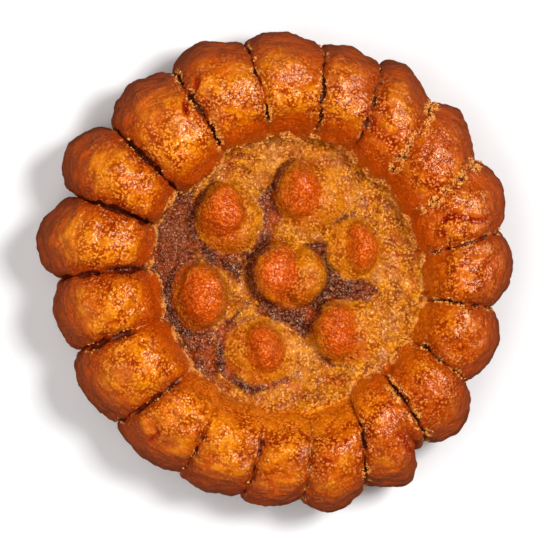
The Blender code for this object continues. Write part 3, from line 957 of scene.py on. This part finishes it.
def floor_colour(n, p, sunk, knobbed):
    """Gold and tan, dark where it is sunk, partly from syrup and partly as painted shade, with painted
    shade in the creases and dips, a painted sheen on the dark parts, and the golden domes and their red
    knobs.
    """
    shade = n.mix(n.ramp(p.cloud, 0.35, 0.65), FLOOR_TAN, FLOOR_GOLD)
    shade = n.mix(n.ramp(p.broad, 0.5, 0.62, 0.0, 0.3), shade, FLOOR_VEIL)
    # Painted shade along the creases
    shade = n.mix(n.times(p.creases, 0.9), shade, RECESS_SHADE, "MULTIPLY")
    # The dark floor: syrup-dark dough, with painted shade round and between the bosses
    shade = n.mix(n.times(sunk, n.ramp(p.cloud, 0.35, 0.65, 0.8, 1.0)), shade, FLOOR_DARK)
    # Painted shadow in the dips round the domes
    shade = n.mix(n.frayed("moat_shade", p.ragged, 0.5, 0.3, 0.85, 0.8), shade, MOAT_SHADOW)
    # A pale net on the dark floor: a painted sheen
    sheen_net = n.most(n.times(p.crinkle, 0.35), n.ramp(p.marks, 0.4, 1.0, 0.0, 0.45))
    shade = n.mix(n.times(sheen_net, sunk), shade, DARK_FLOOR_SHEEN)
    # The domes' lower left sides: partly browning, partly painted shade
    dome = n.mix(n.mask("lee"), DOME_GOLD, DOME_BROWNED_AND_SHADED)
    dome = n.mix(n.times(knobbed, 0.9), dome, KNOB_RED)
    return n.mix(n.frayed("dome", p.ragged, 0.8, 0.05, 0.95), shade, dome)


def marked_colour(n, p, shade, grain_share, knobbed):
    """A colour with painted shade in the low relief, along the seams, in the folds, in the hollows
    between the grains and in the cracks, pale ridges that are partly painted glints, and the pale
    crumbs.
    """
    # Deep orange where the relief is low: painted shade
    shade = n.mix(n.ramp(n.mask("relief"), 0.15, 0.5, 0.6, 0.0), shade, DEEP_ORANGE)
    # Painted shade along the seams
    shade = n.mix(n.times(n.mask("seam"), 0.8), shade, SEAM_SHADE_BROWN)
    # Painted shade in the folds
    shade = n.mix(n.ramp(n.mask("fold"), 0.05, 0.3), shade, FOLD_SHADE)
    # Painted shade in the hollows between the grains
    pit_shade_share = n.times(grain_share, n.ramp(n.mask("knob"), 0.0, 1.0, 1.0, 0.6))
    pit_shade = n.times(n.ramp(p.marks, 0.0, 0.65, 1.0, 0.0), pit_shade_share)
    shade = n.mix(pit_shade, shade, RECESS_SHADE, "MULTIPLY")
    # Pale ridges: partly pale grains of crust, partly painted glints
    pale_ridge_glint = n.times(n.ramp(p.marks, 0.5, 1.0, 0.0, 0.4), n.ramp(knobbed, 0.0, 1.0, 1.0, 0.6))
    shade = n.mix(n.times(pale_ridge_glint, grain_share), shade, PALE)
    crumbly = n.times(n.ramp(n.mask("crumb"), 0.1, 0.6), n.ramp(p.marks, 0.2, 0.7, 0.1, 1.0))
    shade = n.mix(crumbly, shade, PALE)
    # Painted shade in the cracks
    return n.mix(n.ramp(n.mask("crack"), 0.2, 0.65), shade, CRACK_SHADE)


def dough_height(n, p, grain_share, sunk, knobbed):
    """The finest relief, where 1 stands out as far as the bump's depth."""
    ring = n.mask("ring")
    grained = n.ramp(n.most(grain_share, n.times(sunk, 0.8)), 0.0, 1.0, 0.15, 1.0)
    crinkled = n.times(p.crinkle, n.most(knobbed, sunk))
    creased = n.times(p.creases, n.ramp(ring, 0.0, 1.0, 0.25, 0.05))
    swollen = n.times(n.noise(SWELL_SIZE, 2.0), n.ramp(n.most(ring, knobbed), 0.0, 1.0, 0.4, 1.0))
    height = n.times(n.times(p.grain, 0.45), grained)
    height = n.plus(height, n.times(crinkled, 0.5))
    height = n.math("SUBTRACT", height, creased)
    height = n.plus(height, swollen)
    return n.plus(height, n.times(n.times(p.lines, n.mask("wall")), 1.4))


def dough_material():
    """Syrup-soaked fried crust: brown on the rims, red on the knobs, golden on top as painted light, and
    dark in dips from syrup and painted shade.
    """
    n = Nodes("fried_dough")
    p = dough_pattern(n)
    sunk = n.frayed("sunk", p.ragged, 1.4, 0.3, 0.7)
    knobbed = n.frayed("knob", p.ragged, 0.7, 0.15, 0.8)
    patch = n.ramp(n.noise(GRAIN_PATCHES, 3.0, 0.6), 0.4, 0.6, 0.35, 1.0)
    grain_share = n.times(n.mask("grain_share"), n.most(patch, n.mask("knob")))
    shade = n.mix(n.mask("ring"), floor_colour(n, p, sunk, knobbed), petal_colour(n, p))
    shade = marked_colour(n, p, shade, grain_share, knobbed)
    normal = n.bump(dough_height(n, p, grain_share, sunk, knobbed), BUMP_DEPTH)
    dry = n.mask("dry")
    rough = n.plus(n.ramp(p.cloud, 0.3, 0.7, 0.14, 0.26), n.times(n.mask("crumb"), 0.15))
    rough = n.plus(rough, n.times(dry, 0.25))
    wet = n.plus(n.ramp(dry, 0.0, 1.0, 0.2, 0.0), n.times(knobbed, 0.25))
    return n.finish(
        Base_Color=shade, Roughness=rough, Normal=normal, Specular_IOR_Level=0.4,
        Specular_Tint=(1.0, 0.66, 0.36, 1.0),
        Subsurface_Weight=0.08, Subsurface_Radius=(1.0, 0.35, 0.1), Subsurface_Scale=0.4 * MM,
        Coat_Weight=wet, Coat_Roughness=0.14, Coat_IOR=1.5, Coat_Normal=normal,
    )


def crumb_material():
    """Dry pale grains, browned in patches."""
    n = Nodes("crumb")
    shade = n.mix(n.ramp(n.noise(1.1, 3.0), 0.35, 0.6, 0.0, 0.7), PALE, GOLD)
    shade = n.mix(n.ramp(n.noise(0.3, 2.0), 0.45, 0.7, 0.0, 0.5), shade, WALL_BROWN)
    normal = n.bump(n.noise(0.12, 2.0), 0.04, 0.8)
    return n.finish(
        Base_Color=shade, Roughness=n.ramp(n.noise(0.5), 0.3, 0.7, 0.4, 0.65), Normal=normal,
        Subsurface_Weight=0.2, Subsurface_Radius=(1.0, 0.5, 0.2), Subsurface_Scale=0.5 * MM,
    )


# ---------------------------------------------------------------- floor, light and camera

PHOTO_SIDE = 550  # pixels
OBJECT_SPAN_PIXELS = 477.0  # the width that the biscuit takes of them
OUTLINE_MIDDLE = (277.5, 272.5)  # pixels, from the top left
CAMERA_ELEVATION = 85.0  # degrees above the table
CAMERA_BEARING = 180.0  # the camera leans out to this side of the biscuit
CAMERA_DISTANCE = 0.6  # metres, as all that follows
TARGET_SHARE = 0.6  # it looks at this share of the biscuit's height
CLIP_START, CLIP_END = 0.01, 10.0
SENSOR = 36.0  # millimetres

# A light's side is in metres and its power in watts. glossy is whether it shows in the syrup.
Light = namedtuple("Light", "name bearing elevation distance side power glossy")
LIGHTS = (
    Light("key", 25, 62, 0.5, 0.15, 2.3, True),
    Light("top", 170, 66, 0.6, 0.5, 1.5, False),
    Light("fill", 215, 48, 0.6, 0.5, 1.4, False),
)
WORLD_COLOUR, WORLD_STRENGTH = (1.0, 0.99, 0.97, 1.0), 0.06
TABLE_GREY, TABLE_ROUGHNESS = (0.85, 0.85, 0.85, 1.0), 0.9
TABLE_HALF_SIDE = 2.0


def direction(bearing, elevation):
    """The way from the biscuit towards this bearing and elevation, in degrees."""
    turn, rise = math.radians(bearing), math.radians(elevation)
    return Vector((
        math.cos(turn) * math.cos(rise), math.sin(turn) * math.cos(rise), math.sin(rise),
    ))


def add_camera():
    """Looks down on the biscuit from a little to its left, framed as the photograph is."""
    width = cad_high.x - cad_low.x
    target = (cad_low + cad_high) / 2
    target.z = cad_high.z * TARGET_SHARE
    back = direction(CAMERA_BEARING, CAMERA_ELEVATION)
    data = bpy.data.cameras.new("camera")
    data.sensor_width = SENSOR
    data.lens = SENSOR * CAMERA_DISTANCE * OBJECT_SPAN_PIXELS / (PHOTO_SIDE * width)
    data.shift_x = (PHOTO_SIDE / 2 - OUTLINE_MIDDLE[0]) / PHOTO_SIDE
    data.shift_y = (OUTLINE_MIDDLE[1] - PHOTO_SIDE / 2) / PHOTO_SIDE
    data.clip_start, data.clip_end = CLIP_START, CLIP_END
    camera = bpy.data.objects.new("camera", data)
    bpy.context.scene.collection.objects.link(camera)
    right = Vector((0, 1, 0)).cross(back).normalized()
    camera.matrix_world = Matrix((right, back.cross(right), back)).transposed().to_4x4()
    camera.location = target + back * CAMERA_DISTANCE
    bpy.context.scene.camera = camera


def add_light(row):
    """A square soft light that points at the middle of the biscuit."""
    towards = direction(row.bearing, row.elevation)
    data = bpy.data.lights.new(row.name, "AREA")
    data.size, data.energy = row.side, row.power
    light = bpy.data.objects.new(row.name, data)
    bpy.context.scene.collection.objects.link(light)
    light.location = towards * row.distance
    light.rotation_mode = "QUATERNION"
    light.rotation_quaternion = towards.to_track_quat("Z", "Y")
    light.visible_glossy = row.glossy


def add_world():
    """Weak light from all round, which doesn't show in the syrup."""
    world = bpy.data.worlds.new("studio")
    world.use_nodes = True
    background = world.node_tree.nodes["Background"]
    background.inputs["Color"].default_value = WORLD_COLOUR
    background.inputs["Strength"].default_value = WORLD_STRENGTH
    world.cycles_visibility.glossy = False
    bpy.context.scene.world = world


def add_table():
    """The plain pale surface that the biscuit lies on, which doesn't show in the syrup either."""
    body = bmesh.new()
    bmesh.ops.create_grid(body, x_segments=1, y_segments=1, size=TABLE_HALF_SIDE)
    mesh = bpy.data.meshes.new("floor")
    body.to_mesh(mesh)
    body.free()
    table = bpy.data.objects.new("floor", mesh)
    bpy.context.scene.collection.objects.link(table)
    table.location.z = cad_low.z
    table.visible_glossy = False
    mesh.materials.append(Nodes("pale_floor").finish(Base_Color=TABLE_GREY, Roughness=TABLE_ROUGHNESS))


def add_studio():
    """A pale table and soft light, strongest from the upper right of the photograph."""
    for row in LIGHTS:
        add_light(row)
    add_world()
    add_table()
    bpy.context.scene.view_settings.view_transform = "Standard"
    bpy.context.scene.view_settings.look = "None"


def main():
    add_camera()
    add_studio()
    dough, points, normals, masks = dough_piece()
    dough.data.materials.append(dough_material())
    weights = masks["crumb"] ** CRUMB_GATHERING * (1 - masks["crack"])
    crumbs = crumb_piece(points, normals, weights)
    crumbs.data.materials.append(crumb_material())
    for piece in (dough, crumbs):
        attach(piece, "root")
    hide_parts("yakgwa")


main()
